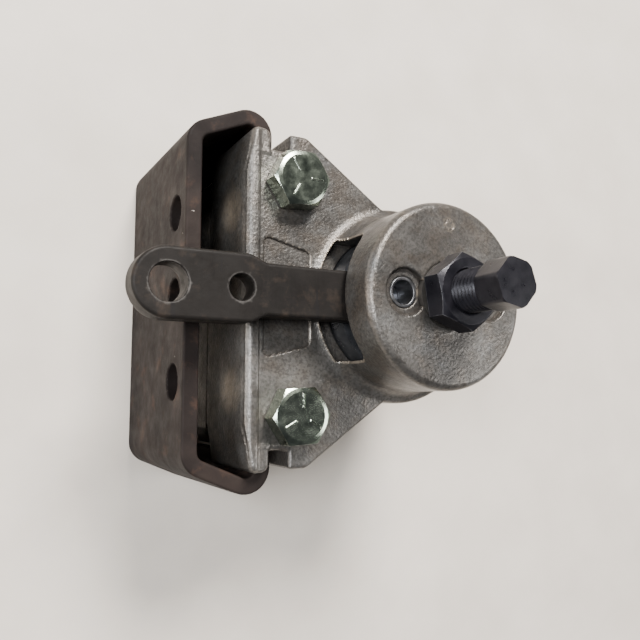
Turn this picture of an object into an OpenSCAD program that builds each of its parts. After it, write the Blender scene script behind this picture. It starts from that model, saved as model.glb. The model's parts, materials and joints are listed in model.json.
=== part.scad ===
// Lever-operated ball-ramp disc-brake caliper, floating on a C-section mounting bracket.
// Frame: origin at the middle mounting hole, on the outer face of the bracket's web.
// +X runs from the bracket to the drum, +Y along the row of mounting holes, and +Z along
// the drum's axis, away from the disc. Bolts and stud are inch hardware, given in mm.

/* [Bracket] */
// Thickness of the bracket's steel plate
plate_t = 4.2; // [3.5:0.1:4.6]
// Depth of the C section along the drum's axis
bracket_len = 53; // [50:1:60]
// Half height of the flat web, to the sharp outer corner
web_half = 44; // [43.5:0.1:45]
// Half height at the lips, to the sharp outer corner
lip_half = 54.3; // [54:0.1:56]
// Width of the section, from the web's outer face to the lips' outer face
bracket_w = 23.8; // [23.6:0.1:24]
// Outer radius of the bends
bend_r = 6.6; // [6:0.1:7]
// Diameter of the three mounting holes
mount_hole_d = 9.5; // [8:0.1:10]
// Distance between neighbouring mounting holes
mount_pitch = 22.2; // [20:0.1:26]
// Distance from the mounting holes to the section's front edge
hole_edge = 9.2; // [9:0.1:10]

/* [Castings] */
// Distance from the web's outer face to the drum's axis
axis_x = 61.5; // [61:0.1:63]
// Outer radius of the drum
drum_r = 24.6; // [24.4:0.1:26]
// Radius of the bore for the lever hub, the piston and the pads
bore_r = 20.5; // [20.4:0.1:20.7]
// Height of the flange's front face above the origin
flange_z = 13; // [12.6:0.1:13.4]
// Height of the drum's front face above the origin
drum_z = 36.7; // [36.5:0.1:37.5]
// Height of the joint between the two castings
joint_z = -14.3; // [-14.5:0.1:-14]
// Distance of each clamping bolt from the middle plane
bolt_half = 30.9; // [30.5:0.1:31.2]
// Distance from the web's outer face to the clamping bolts
bolt_x = 28.35; // [28:0.05:28.6]

/* [Lever] */
// Thickness of the lever plate
lever_t = 6.35; // [5.5:0.05:6.35]
// Width of the lever's head
lever_head_w = 16.9; // [14:0.1:18]
// Width of the lever's neck
lever_neck_w = 13; // [11:0.1:14]
// Distance from the drum's axis to the hole at the lever's tip
tip_hole_reach = 69.7; // [68:0.1:71]
// Distance from the drum's axis to the lever's inner hole
inner_hole_reach = 51.9; // [50:0.1:53]
// Diameter of the hole at the lever's tip
tip_hole_d = 9.2; // [8:0.1:9.6]
// Diameter of the lever's inner hole
inner_hole_d = 6.5; // [5:0.1:7]

/* [Pads] */
// Space between the two linings with the brake released
disc_gap = 6; // [5.5:0.1:6.5]
// Thickness of each friction lining
lining_t = 6; // [5:0.1:6]
// Radius of the linings
lining_r = 18.5; // [15:0.5:19]

/* [Hardware] */
// Diameter of the adjusting stud's thread, 7/16 inch
stud_d = 11.11; // [11.11:0.01:11.12]
// Width across flats of the jam nut, 11/16 inch
nut_af = 17.46; // [17:0.01:19.1]
// Diameter of the clamping bolts, 3/8 inch
bolt_d = 9.52; // [9.5:0.01:9.53]
// Width across flats of the bolt heads and nuts, 9/16 inch
bolt_af = 14.29; // [14:0.01:14.3]
// Diameter of the ramp balls, 1/4 inch
ball_d = 6.35; // [6.3:0.01:6.4]

/* [Hidden] */
$fn = 96;

// Half width of a hexagon's corners for a width across its flats
function hex_r(af) = af / 2 / cos(30);

// Heights of the main faces
back_z = hole_edge - bracket_len;
overhang_z = hole_edge + 0.6;
disc_z = joint_z;
slot_floor_z = 9;
slot_roof_z = 25.2;
slot_reach = 26.2;
slot_half = 16.5;
cavity_z = 31.2;
lever_z = 17.35;
lever_top = lever_z + lever_t;

// The two pads, measured from the middle of the disc
pad_plate_t = 3;
inner_face_z = disc_z + disc_gap / 2;
inner_plate_z = inner_face_z + lining_t;
outer_face_z = disc_z - disc_gap / 2;
outer_plate_z = outer_face_z - lining_t - pad_plate_t;
slot_clear = 5.5;
slot_x = 36;
pad_plate_r = 19.6;

// Ramp plate, balls and cage
ramp_gap = 2.5;
ramp_z = lever_top + ramp_gap;
ball_z = lever_top + ramp_gap / 2;
ball_ring_r = 13.5;
track_half = ball_d / 2 - 0.1;
track_h = ball_d + 0.1;
track_sweep = 28;
ball_angles = [90, 210, 330];
cage_t = 1;
pin_r = 3.97;
pin_wall = 0.9;
pin_reach = 13.3;
pin_seat_z = drum_z - 1.5;
pin_foot_z = 28.3;
pin_seat_r = 6;

// Lever hub, bush and stud
hub_r = 7.15;
hub_top = drum_z + 1.6;
bush_r = 8.6;
bush_fit = 0.05;
disc_r = 19;
nut_h = 6.35;
stud_fit = 0.05;
stud_tip_z = 60.9;
stud_end_af = 11.11;
stud_end_r = 6.2;
stud_hex_z = 53.2;
stud_foot_z = 9;
cap_h = 3.5;
cap_r = 6;

// Piston, spring and its retainer
piston_r = bore_r - 0.1;
piston_top = 15.5;
piston_shoulder_z = 8.5;
piston_stem_r = 12;
seat_z = 1.2;
seat_t = 1.2;
ring_z = -0.4;
ring_t = 1.5;
ring_groove = 1.2;
spring_wire = 2.2;
spring_r = 16;
spring_coils = 3;

// Clamping hardware
bolt_head_h = 5.95;
bolt_washer_h = 0.4;
bolt_clear = 0.2;
bolt_len = 56.4;
pocket_z = back_z + 11.2;
pocket_r = 9.6;
washer_t = 2.4;
nut_full_h = 8.2;

function xy(c) = [c[0], c[1]];
function unit(v) = v / norm(v);

// The arc that rounds one corner [x, y, radius] of an outline, as a list of points
function corner_arc(before, corner, after, steps) =
    corner[2] == 0 ? [xy(corner)] :
    let (
        p = xy(corner),
        u = unit(before - p),
        v = unit(after - p),
        half = acos(u * v) / 2,
        reach = corner[2] / tan(half),
        centre = p + unit(u + v) * corner[2] / sin(half),
        first = p + u * reach - centre,
        last = p + v * reach - centre,
        start = atan2(first[1], first[0]),
        turn = (atan2(last[1], last[0]) - start + 540) % 360 - 180
    )
    [for (i = [0:steps])
        centre + corner[2] * [cos(start + turn * i / steps), sin(start + turn * i / steps)]];

// A closed outline whose corners are [x, y, radius]
function rounded(corners, steps = 6) =
    let (n = len(corners))
    [for (i = [0:n - 1])
        each corner_arc(xy(corners[(i + n - 1) % n]), corners[i], xy(corners[(i + 1) % n]), steps)];

// The upper half of an outline, followed by its mirror image below the X axis
function both_halves(upper) = concat(upper, flipped(upper));

// Both clamping bolts' places
module at_bolts() {
    for (side = [-1, 1]) translate([bolt_x, side * bolt_half, 0]) children();
}

// Both hollow pins' places
module at_pins() {
    for (side = [-1, 1]) translate([axis_x + side * pin_reach, 0, 0]) children();
}

// A round bar on the drum's axis, from one height to another
module axial(r, from, to) {
    translate([axis_x, 0, from]) cylinder(r = r, h = to - from);
}

// A flat ring on the drum's axis
module ring(outer, inner, from, to) {
    difference() {
        axial(outer, from, to);
        axial(inner, from - 1, to + 1);
    }
}

// A hexagonal bar on the drum's axis
module axial_hex(af, from, to) {
    translate([axis_x, 0, from]) rotate([0, 0, 30]) cylinder(r = hex_r(af), h = to - from, $fn = 6);
}

// One bolt's hexagon at the origin
module hex_bar(af, from, to) {
    translate([0, 0, from]) cylinder(r = hex_r(af), h = to - from, $fn = 6);
}

// Outline of the C section: the outer corners, then the inner ones a plate thickness inside
leg_angle = atan((lip_half - web_half) / bracket_w);
lip_end = 41;
inner_r = bend_r - plate_t;
function inner_leg_y(x) = web_half + x * tan(leg_angle) - plate_t / cos(leg_angle);
bracket_outer = [[bracket_w, lip_end, 0.4], [bracket_w, lip_half, bend_r], [0, web_half, bend_r]];
bracket_inner = [
    [plate_t, inner_leg_y(plate_t), inner_r],
    [bracket_w - plate_t, inner_leg_y(bracket_w - plate_t), inner_r],
    [bracket_w - plate_t, lip_end, 0.4]
];
function flipped(corners) =
    [for (i = [len(corners) - 1:-1:0]) [corners[i][0], -corners[i][1], corners[i][2]]];
function bracket_outline() =
    rounded(concat(bracket_outer, flipped(bracket_outer), flipped(bracket_inner), bracket_inner));

// Bent steel bracket that the caliper floats on, with three mounting holes in its web
module mounting_bracket() {
    color([0.20, 0.17, 0.16])
    difference() {
        translate([0, 0, back_z]) linear_extrude(bracket_len) polygon(bracket_outline());
        for (i = [-1:1])
            translate([-1, i * mount_pitch, 0]) rotate([0, 90, 0])
                cylinder(d = mount_hole_d, h = plate_t + 2);
    }
}

// Outline of the front casting: a T head inside the bracket, slots for its lips, ears for
// the bolts, and a taper to the drum
head_left = 14.7;
slot_left = 19.1;
slot_right = 27.4;
neck_half = 39.6;
head_half = 45.1;
ear_half = 44.6;
front_half_outline = [
    [head_left, 33, 5], [16.6, head_half, 2], [slot_left, head_half, 0.6],
    [slot_left, neck_half, 0.8], [slot_right, neck_half, 0.8], [slot_right, ear_half, 0.8],
    [32.6, ear_half, 3], [57.3, 27.4, 0], [axis_x, 27, 0]
];
overhang_half = [[head_left + 2, head_half, 2.2], [21.9, head_half, 2.2], [21.9, neck_half - 2, 0.3]];

// The rear casting ends short of the lips
rear_half_outline = [
    [head_left, 34.6, 1], [18.6, 39.6, 2], [slot_right, 39.6, 0.8], [slot_right, ear_half, 0.8],
    [32.6, ear_half, 3], [57.3, 27.4, 0], [axis_x, 27, 0]
];

// Upper half of one piece that stands over the bracket's lip
module lip_overhang(side) {
    mirror([0, side < 0 ? 1 : 0, 0])
        translate([0, 0, overhang_z]) linear_extrude(flange_z - overhang_z)
            polygon(rounded(concat(overhang_half, [[head_left + 2, neck_half - 2, 0]])));
}

// Low ridge along the T head's outer edge
ridge_h = 0.7;
ridge_half_outline = [[head_left + 0.4, 33, 4], [16.9, head_half - 0.4, 1.2], [18.7, head_half - 0.4, 0.3]];
module head_ridge() {
    translate([0, 0, flange_z - 1]) linear_extrude(ridge_h + 1)
        polygon(rounded(both_halves(ridge_half_outline)));
}

// Drum and its flared foot, as a solid of revolution
flare_r = 3.2;
base_r = drum_r + flare_r;
drum_edge = 2.2;
module drum() {
    translate([axis_x, 0, 0]) rotate_extrude()
        polygon(concat(
            [[0, joint_z], [base_r, joint_z], [base_r, flange_z]],
            [for (a = [0:15:90]) [base_r - flare_r * sin(a), flange_z + 2 * flare_r * (1 - cos(a))]],
            [for (a = [0:15:90]) [drum_r - drum_edge * (1 - cos(a)), drum_z - drum_edge * (1 - sin(a))]],
            [[0, drum_z]]
        ));
}

// Space for the disc between the two castings
module disc_space() {
    translate([slot_x, -60, disc_z - slot_clear]) cube([80, 120, 2 * slot_clear]);
}

// Shallow plain panel between the bolts
panel_depth = 0.6;
panel_corners = [[19.9, 16, 1], [33.4, 12.6, 1]];
module badge_panel() {
    translate([0, 0, flange_z - panel_depth]) linear_extrude(panel_depth + 1)
        polygon(rounded(both_halves(panel_corners), 3));
}

// Slot for the lever: through the drum's wall and down into its flared foot
module lever_slot() {
    intersection() {
        translate([axis_x - 60, -slot_half, slot_floor_z])
            cube([60, 2 * slot_half, slot_roof_z - slot_floor_z]);
        axial(slot_reach, slot_floor_z - 1, flange_z + 3);
    }
    translate([axis_x - 60, -slot_half, flange_z + 2])
        cube([60, 2 * slot_half, slot_roof_z - flange_z - 2]);
}

// Housing: T head, ears and drum, bored from the disc side
module front_casting() {
    color([0.66, 0.65, 0.63])
    difference() {
        union() {
            translate([0, 0, joint_z]) linear_extrude(flange_z - joint_z)
                polygon(rounded(both_halves(front_half_outline)));
            for (side = [-1, 1]) lip_overhang(side);
            head_ridge();
            drum();
        }
        axial(bore_r, joint_z - 1, cavity_z);
        axial(bore_r + ring_groove, ring_z - 0.1, ring_z + ring_t + 0.1);
        axial(bush_r, cavity_z - 1, drum_z + 1);
        at_pins() translate([0, 0, cavity_z - 1]) cylinder(r = pin_r, h = drum_z - cavity_z + 2);
        at_pins() translate([0, 0, pin_seat_z]) cylinder(r = pin_seat_r, h = drum_z);
        lever_slot();
        at_bolts() translate([0, 0, joint_z - 1]) cylinder(r = bolt_d / 2 + bolt_clear, h = 60);
        disc_space();
        badge_panel();
    }
}

// Reaction half behind the disc, with the outer pad's pocket and the nuts' pockets
module rear_casting() {
    color([0.64, 0.63, 0.61])
    difference() {
        union() {
            translate([0, 0, back_z]) linear_extrude(joint_z - back_z)
                polygon(rounded(both_halves(rear_half_outline)));
            axial(base_r, back_z, joint_z);
        }
        axial(bore_r, outer_plate_z, joint_z + 1);
        disc_space();
        at_bolts() translate([0, 0, back_z - 1]) cylinder(r = bolt_d / 2 + bolt_clear, h = 60);
        at_bolts() translate([0, 0, back_z - 1]) cylinder(r = pocket_r, h = pocket_z - back_z + 1);
        for (side = [-1, 1])
            translate([axis_x + side * 9, 0, back_z - 1]) cylinder(r = screw_r + 0.15, h = 40);
        for (side = [-1, 1])
            translate([axis_x + side * 9, 0, back_z - 1])
                cylinder(r = screw_head_r + 0.5, h = screw_seat_z - back_z + 1);
    }
}

// Lever: a round hub disc inside the drum, a neck through the slot, and a wider head
neck_end = 44.6;
head_start = 50.2;
module lever_outline() {
    circle(r = disc_r);
    polygon([
        [0, lever_neck_w / 2], [-neck_end, lever_neck_w / 2], [-head_start, lever_head_w / 2],
        [-tip_hole_reach, lever_head_w / 2], [-tip_hole_reach, -lever_head_w / 2],
        [-head_start, -lever_head_w / 2], [-neck_end, -lever_neck_w / 2], [0, -lever_neck_w / 2]
    ]);
    translate([-tip_hole_reach, 0]) circle(d = lever_head_w);
}

module lever() {
    color([0.23, 0.21, 0.20])
    difference() {
        translate([axis_x, 0, lever_z]) linear_extrude(lever_t) lever_outline();
        axial(hub_r, lever_z - 1, lever_top + 1);
        translate([axis_x - tip_hole_reach, 0, lever_z - 1]) cylinder(d = tip_hole_d, h = lever_t + 2);
        translate([axis_x - inner_hole_reach, 0, lever_z - 1]) cylinder(d = inner_hole_d, h = lever_t + 2);
        ball_tracks();
    }
}

// Flat-bottomed tracks for the balls, one at each ball, longer than the balls travel
module ball_tracks() {
    for (a = ball_angles)
        translate([axis_x, 0, ball_z - track_h / 2]) rotate([0, 0, a - track_sweep])
            rotate_extrude(angle = 2 * track_sweep)
                translate([ball_ring_r - track_half, 0]) square([2 * track_half, track_h]);
}

// Threaded sleeve pressed into the lever, which the jam nut locks against
module lever_hub() {
    color([0.28, 0.27, 0.26]) ring(hub_r, stud_d / 2 + stud_fit, lever_z, hub_top);
}

// Plain bush in the drum's front wall
module hub_bush() {
    color([0.22, 0.21, 0.20]) ring(bush_r, hub_r + bush_fit, cavity_z, drum_z - 0.1);
}

// Adjusting stud with a hexagonal end
module adjusting_stud() {
    color([0.13, 0.13, 0.14]) {
        axial(stud_d / 2, stud_foot_z, stud_hex_z);
        intersection() {
            axial_hex(stud_end_af, stud_hex_z - 0.1, stud_tip_z);
            axial(stud_end_r, stud_hex_z - 0.1, stud_tip_z);
        }
    }
}

// Jam nut, turned down to a round face at its front
module jam_nut() {
    color([0.14, 0.14, 0.15])
    difference() {
        intersection() {
            axial_hex(nut_af, hub_top, hub_top + nut_h);
            translate([axis_x, 0, hub_top]) union() {
                cylinder(r = hex_r(nut_af) + 0.1, h = nut_h - 1);
                translate([0, 0, nut_h - 1])
                    cylinder(r1 = hex_r(nut_af) + 0.1, r2 = nut_af / 2 - 0.4, h = 1);
            }
        }
        axial(stud_d / 2 + stud_fit, hub_top - 1, hub_top + nut_h + 1);
    }
}

// Hardened cap between the stud's foot and the piston
module thrust_cap() {
    color([0.70, 0.70, 0.72])
    difference() {
        axial(cap_r, stud_foot_z - cap_h, stud_foot_z + 1.5);
        axial(stud_d / 2 + 0.1, stud_foot_z, stud_foot_z + 3);
    }
}

// Fixed plate with the upper ball tracks, held against turning by the two pins
module ramp_plate() {
    color([0.48, 0.48, 0.50])
    difference() {
        axial(bore_r - 0.1, ramp_z, cavity_z);
        axial(hub_r + 0.8, ramp_z - 1, cavity_z + 1);
        at_pins() translate([0, 0, pin_foot_z]) cylinder(r = pin_r, h = 10);
        ball_tracks();
    }
}

// Two hollow spring pins through the drum's front wall
module ramp_pins() {
    color([0.62, 0.62, 0.62])
    at_pins() difference() {
        translate([0, 0, pin_foot_z]) cylinder(r = pin_r, h = pin_seat_z - pin_foot_z);
        translate([0, 0, pin_foot_z - 1]) cylinder(r = pin_r - pin_wall, h = 20);
    }
}

// Three steel balls between the lever and the ramp plate
module ramp_balls() {
    color([0.78, 0.78, 0.80])
    for (a = ball_angles)
        translate([axis_x, 0, ball_z]) rotate([0, 0, a]) translate([ball_ring_r, 0, 0])
            sphere(d = ball_d, $fn = 48);
}

// Sheet-brass cage that keeps the balls apart
module ball_cage() {
    color([0.70, 0.62, 0.40])
    difference() {
        ring(18.2, hub_r + 1, ball_z - cage_t / 2, ball_z + cage_t / 2);
        for (a = ball_angles)
            translate([axis_x, 0, ball_z - 2]) rotate([0, 0, a]) translate([ball_ring_r, 0, 0])
                cylinder(r = ball_d / 2 + 0.1, h = 4);
    }
}

// Piston that carries the inner pad
module piston() {
    color([0.55, 0.55, 0.56])
    difference() {
        union() {
            axial(piston_r, piston_shoulder_z, piston_top);
            axial(piston_stem_r, inner_plate_z + pad_plate_t, piston_shoulder_z + 1);
        }
        axial(cap_r + 0.5, stud_foot_z - cap_h, piston_top + 1);
    }
}

// Return spring, as separate closed rings of its wire
module return_spring() {
    pitch = (piston_shoulder_z - seat_z - seat_t - spring_wire) / (spring_coils - 1);
    color([0.50, 0.50, 0.52])
    for (i = [0:spring_coils - 1])
        translate([axis_x, 0, seat_z + seat_t + spring_wire / 2 + i * pitch])
            rotate_extrude() translate([spring_r, 0]) circle(d = spring_wire, $fn = 24);
}

// Washer under the return spring
module spring_seat() {
    color([0.60, 0.60, 0.60]) ring(bore_r - 0.2, piston_stem_r + 0.4, seat_z, seat_z + seat_t);
}

// Snap ring in the bore's groove, open on one side
module snap_ring() {
    color([0.20, 0.20, 0.21])
    difference() {
        ring(bore_r + ring_groove - 0.3, bore_r - 2.4, ring_z, ring_z + ring_t);
        translate([axis_x, -4, ring_z - 1]) cube([40, 8, 4]);
    }
}

// Steel backing plate and friction lining of the pad on the piston
module inner_pad_plate() {
    color([0.30, 0.30, 0.31]) axial(pad_plate_r, inner_plate_z, inner_plate_z + pad_plate_t);
}

module inner_lining() {
    color([0.35, 0.33, 0.30]) axial(lining_r, inner_face_z, inner_plate_z);
}

// Backing plate of the pad in the rear casting, tapped for its two screws
module outer_pad_plate() {
    color([0.30, 0.30, 0.31])
    difference() {
        axial(pad_plate_r, outer_plate_z, outer_plate_z + pad_plate_t);
        for (side = [-1, 1])
            translate([axis_x + side * 9, 0, outer_plate_z - 1]) cylinder(r = screw_r, h = 5);
    }
}

module outer_lining() {
    color([0.35, 0.33, 0.30]) axial(lining_r, outer_plate_z + pad_plate_t, outer_face_z);
}

// Two screws that hold the outer pad from behind
screw_r = 2.4;
screw_head_r = 4.4;
screw_seat_z = back_z + 6;
module pad_screws() {
    color([0.40, 0.40, 0.41])
    for (side = [-1, 1])
        translate([axis_x + side * 9, 0, 0]) {
            translate([0, 0, screw_seat_z - 3.4]) difference() {
                cylinder(r = screw_head_r, h = 3.4);
                translate([0, 0, -1]) cylinder(r = 2, h = 2.8, $fn = 6);
            }
            translate([0, 0, screw_seat_z - 0.5])
                cylinder(r = screw_r, h = outer_plate_z + pad_plate_t - screw_seat_z + 0.3);
        }
}

// Two hex bolts that clamp the castings together
module clamp_bolts() {
    color([0.72, 0.74, 0.70])
    at_bolts() {
        intersection() {
            hex_bar(bolt_af, flange_z + bolt_washer_h, flange_z + bolt_washer_h + bolt_head_h);
            translate([0, 0, flange_z]) union() {
                cylinder(r = hex_r(bolt_af) + 0.1, h = bolt_washer_h + bolt_head_h - 0.9);
                translate([0, 0, bolt_washer_h + bolt_head_h - 0.9])
                    cylinder(r1 = hex_r(bolt_af) + 0.1, r2 = bolt_af / 2 - 0.5, h = 0.9);
            }
        }
        translate([0, 0, flange_z]) cylinder(r = bolt_af / 2 - 0.3, h = bolt_washer_h + 0.1);
        translate([0, 0, flange_z - bolt_len]) cylinder(d = bolt_d, h = bolt_len + 0.1);
    }
}

// Split lock washers under the nuts
module lock_washers() {
    color([0.66, 0.67, 0.64])
    at_bolts() difference() {
        translate([0, 0, pocket_z - washer_t]) cylinder(r = 8.6, h = washer_t);
        translate([0, 0, pocket_z - 5]) cylinder(r = bolt_d / 2 + 0.1, h = 10);
        translate([4, -0.6, pocket_z - 5]) cube([6, 1.2, 10]);
    }
}

// Hex nuts on the clamping bolts, inside the rear casting's pockets
module clamp_nuts() {
    color([0.70, 0.71, 0.67])
    at_bolts() difference() {
        hex_bar(bolt_af, pocket_z - washer_t - nut_full_h, pocket_z - washer_t);
        translate([0, 0, pocket_z - 30]) cylinder(r = bolt_d / 2 + 0.02, h = 40);
    }
}

mounting_bracket();
front_casting();
rear_casting();
lever();
lever_hub();
hub_bush();
adjusting_stud();
jam_nut();
thrust_cap();
ramp_plate();
ramp_pins();
ramp_balls();
ball_cage();
piston();
return_spring();
spring_seat();
snap_ring();
inner_pad_plate();
inner_lining();
outer_pad_plate();
outer_lining();
pad_screws();
clamp_bolts();
lock_washers();
clamp_nuts();
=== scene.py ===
import bpy
import json
import math
import numpy as np
from mathutils import Matrix, Vector


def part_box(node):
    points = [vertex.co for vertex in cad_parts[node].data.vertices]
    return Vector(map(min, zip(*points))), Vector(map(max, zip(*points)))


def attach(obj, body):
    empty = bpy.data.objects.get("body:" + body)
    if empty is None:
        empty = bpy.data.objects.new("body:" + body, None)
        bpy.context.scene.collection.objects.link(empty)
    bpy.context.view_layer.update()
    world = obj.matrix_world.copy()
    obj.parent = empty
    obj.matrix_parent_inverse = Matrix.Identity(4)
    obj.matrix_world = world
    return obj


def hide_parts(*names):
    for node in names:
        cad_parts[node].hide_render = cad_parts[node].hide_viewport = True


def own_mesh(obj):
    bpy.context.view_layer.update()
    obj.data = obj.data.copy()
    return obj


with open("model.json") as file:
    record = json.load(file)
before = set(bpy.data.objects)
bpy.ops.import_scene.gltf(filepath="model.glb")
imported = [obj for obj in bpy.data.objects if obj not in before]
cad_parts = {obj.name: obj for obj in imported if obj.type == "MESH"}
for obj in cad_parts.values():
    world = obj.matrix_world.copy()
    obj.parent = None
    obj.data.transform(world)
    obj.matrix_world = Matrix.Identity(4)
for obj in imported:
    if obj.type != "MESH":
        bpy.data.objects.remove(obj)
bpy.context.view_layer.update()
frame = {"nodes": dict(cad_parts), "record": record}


MM = 0.001
TAU = 2 * math.pi
scene = bpy.context.scene

# ---------------------------------------------------------------- signed distance shapes, in mm


def outline(points):
    """Signed distance in the plane to a closed outline."""
    pts = [np.array(p, float) for p in points]

    def f(x, y):
        best = None
        inside = None
        for i in range(len(pts)):
            a, b = pts[i], pts[i - 1]
            ex, ey = b - a
            wx, wy = x - a[0], y - a[1]
            t = np.clip((wx * ex + wy * ey) / (ex * ex + ey * ey), 0, 1)
            d = (wx - ex * t) ** 2 + (wy - ey * t) ** 2
            best = d if best is None else np.minimum(best, d)
            above = (y >= a[1])
            below = (y < b[1])
            left = (ex * wy > ey * wx)
            flip = (above & below & left) | (~above & ~below & ~left)
            inside = flip if inside is None else inside ^ flip
        return np.sqrt(best) * np.where(inside, -1.0, 1.0)

    return f


def rounded(corners, steps=7):
    """Points of an outline whose corners are (x, y, radius)."""
    out = []
    n = len(corners)
    for i in range(n):
        c = np.array(corners[i][:2], float)
        r = corners[i][2]
        if r == 0:
            out.append(tuple(c))
            continue
        u = np.array(corners[i - 1][:2]) - c
        v = np.array(corners[(i + 1) % n][:2]) - c
        u = u / np.linalg.norm(u)
        v = v / np.linalg.norm(v)
        half = math.acos(float(np.clip(u @ v, -1, 1))) / 2
        mid = (u + v) / np.linalg.norm(u + v)
        centre = c + mid * r / math.sin(half)
        first = c + u * r / math.tan(half) - centre
        last = c + v * r / math.tan(half) - centre
        a = math.atan2(first[1], first[0])
        turn = (math.atan2(last[1], last[0]) - a + 3 * math.pi) % TAU - math.pi
        for k in range(steps + 1):
            t = a + turn * k / steps
            out.append((centre[0] + r * math.cos(t), centre[1] + r * math.sin(t)))
    return out


def mirrored(upper):
    """Corners above Y = 0, then the same ones below it, the other way round."""
    return list(upper) + [(x, -y, r) for x, y, r in reversed(upper)]


def union(a, b, r=0.0):
    """Either shape, with a fillet of radius r where they meet."""
    if r == 0:
        return np.minimum(a, b)
    return np.maximum(r, np.minimum(a, b)) - np.hypot(np.maximum(r - a, 0), np.maximum(r - b, 0))


def meet(a, b, r=0.0):
    """What both shapes share, with an edge of radius r."""
    if r == 0:
        return np.maximum(a, b)
    return np.minimum(-r, np.maximum(a, b)) + np.hypot(np.maximum(r + a, 0), np.maximum(r + b, 0))


def cut(a, b, r=0.0):
    """The first shape without the second, with an edge of radius r."""
    return meet(a, -b, r)


def slab(flat, z, low, high, r_low, r_high):
    """A flat shape's distance carried from one height to another, with rounded edges."""
    return meet(meet(flat, z - high, r_high), low - z, r_low)


def rod(x, y, z, cx, cy, r, low, high):
    """A round bar along Z."""
    return np.maximum(np.hypot(x - cx, y - cy) - r, np.maximum(low - z, z - high))


SIN_60, COS_60 = 0.8660254, 0.5


def hexagon(x, y, half, turn=0.0):
    """A hexagonal bar, half its width across flats on each side of the axis."""
    c, s = math.cos(turn), math.sin(turn)
    u, v = np.abs(c * x + s * y), np.abs(-s * x + c * y)
    return np.maximum(v, SIN_60 * u + COS_60 * v) - half


# ---------------------------------------------------------------- from distances to meshes


PROBE = 0.02


def value(f, p):
    """The distance at rows of points."""
    return f(p[:, 0], p[:, 1], p[:, 2])


def growth(f, p):
    """The distance at points, and how much it grows over a short step along each axis."""
    d = value(f, p)
    return d, np.stack([value(f, p + PROBE * np.eye(3)[k]) - d for k in range(3)], 1)


def new_object(name, data):
    """An object with this data, linked into the scene."""
    o = bpy.data.objects.new(name, data)
    scene.collection.objects.link(o)
    return o


def dual_mesh(f, low, high, spacing):
    """A quad mesh of the surface f = 0, its points drawn onto that surface."""
    axes = [np.arange(low[i] - 2 * spacing, high[i] + 3 * spacing, spacing) for i in range(3)]
    x, y, z = axes[0][:, None, None], axes[1][None, :, None], axes[2][None, None, :]
    v = f(x, y, z).astype(np.float64)
    v = np.broadcast_to(v, tuple(len(a) for a in axes)).copy()
    v[v == 0] = 1e-9
    neg = v < 0
    shape = tuple(n - 1 for n in v.shape)
    total = np.zeros(shape + (3,))
    count = np.zeros(shape)
    offsets = [(i, j, k) for i in (0, 1) for j in (0, 1) for k in (0, 1)]

    def at(a, o):
        return a[o[0]:o[0] + shape[0], o[1]:o[1] + shape[1], o[2]:o[2] + shape[2]]

    for o in offsets:
        for axis in range(3):
            if o[axis]:
                continue
            p = list(o)
            p[axis] = 1
            p = tuple(p)
            crossing = at(neg, o) != at(neg, p)
            va, vb = at(v, o), at(v, p)
            t = np.where(crossing, va / np.where(crossing, va - vb, 1), 0)
            for k in range(3):
                total[..., k] += np.where(crossing, o[k] + (t if k == axis else 0), 0)
            count += crossing
    active = count > 0
    index = np.full(shape, -1, np.int64)
    index[active] = np.arange(int(active.sum()))
    cell = np.argwhere(active)
    points = (cell + total[active] / count[active][:, None]) * spacing
    points += np.array([a[0] for a in axes])
    quads = []
    for axis in range(3):
        b, c = (axis + 1) % 3, (axis + 2) % 3
        lo = [slice(None)] * 3
        hi = [slice(None)] * 3
        lo[axis], hi[axis] = slice(0, -1), slice(1, None)
        cross = neg[tuple(lo)] != neg[tuple(hi)]
        first = neg[tuple(lo)]
        where = np.argwhere(cross)
        ok = (where[:, b] > 0) & (where[:, c] > 0)
        ok &= (where[:, b] < v.shape[b] - 1) & (where[:, c] < v.shape[c] - 1)
        where = where[ok]
        step_b, step_c = np.zeros(3, int), np.zeros(3, int)
        step_b[b], step_c[c] = 1, 1
        ring = [where, where - step_b, where - step_b - step_c, where - step_c]
        q = np.stack([index[tuple(r.T)] for r in ring], 1)
        out = first[tuple(where.T)]
        q[~out] = q[~out][:, ::-1]
        quads.append(q)
    quads = np.concatenate(quads)

    for _ in range(4):
        d, g = growth(f, points)
        g = g / PROBE
        g /= np.maximum((g * g).sum(1), 0.25)[:, None]
        points -= np.clip(d, -spacing * 0.6, spacing * 0.6)[:, None] * g
    return points, quads


def surface(name, f, low, high, spacing, keep=0.35, depth=0.9):
    """An object from a distance, thinned where it is flat, with its edges and hollows marked."""
    points, quads = dual_mesh(f, low, high, spacing)
    mesh = bpy.data.meshes.new(name)
    mesh.from_pydata((points * MM).tolist(), [], quads.tolist())
    obj = new_object(name, mesh)
    if keep < 1:
        thin = obj.modifiers.new("thin", "DECIMATE")
        thin.ratio = keep
        bpy.context.view_layer.update()
        thinned = obj.evaluated_get(bpy.context.evaluated_depsgraph_get())
        done = bpy.data.meshes.new_from_object(thinned)
        obj.modifiers.clear()
        obj.data = done
        bpy.data.meshes.remove(mesh)
        done.name = name
    mark(obj.data, f, depth, spacing)
    return obj


SMALL_FACET = 1.8
BEND_SMALL, BEND_LARGE = math.radians(44), math.radians(13)


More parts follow.
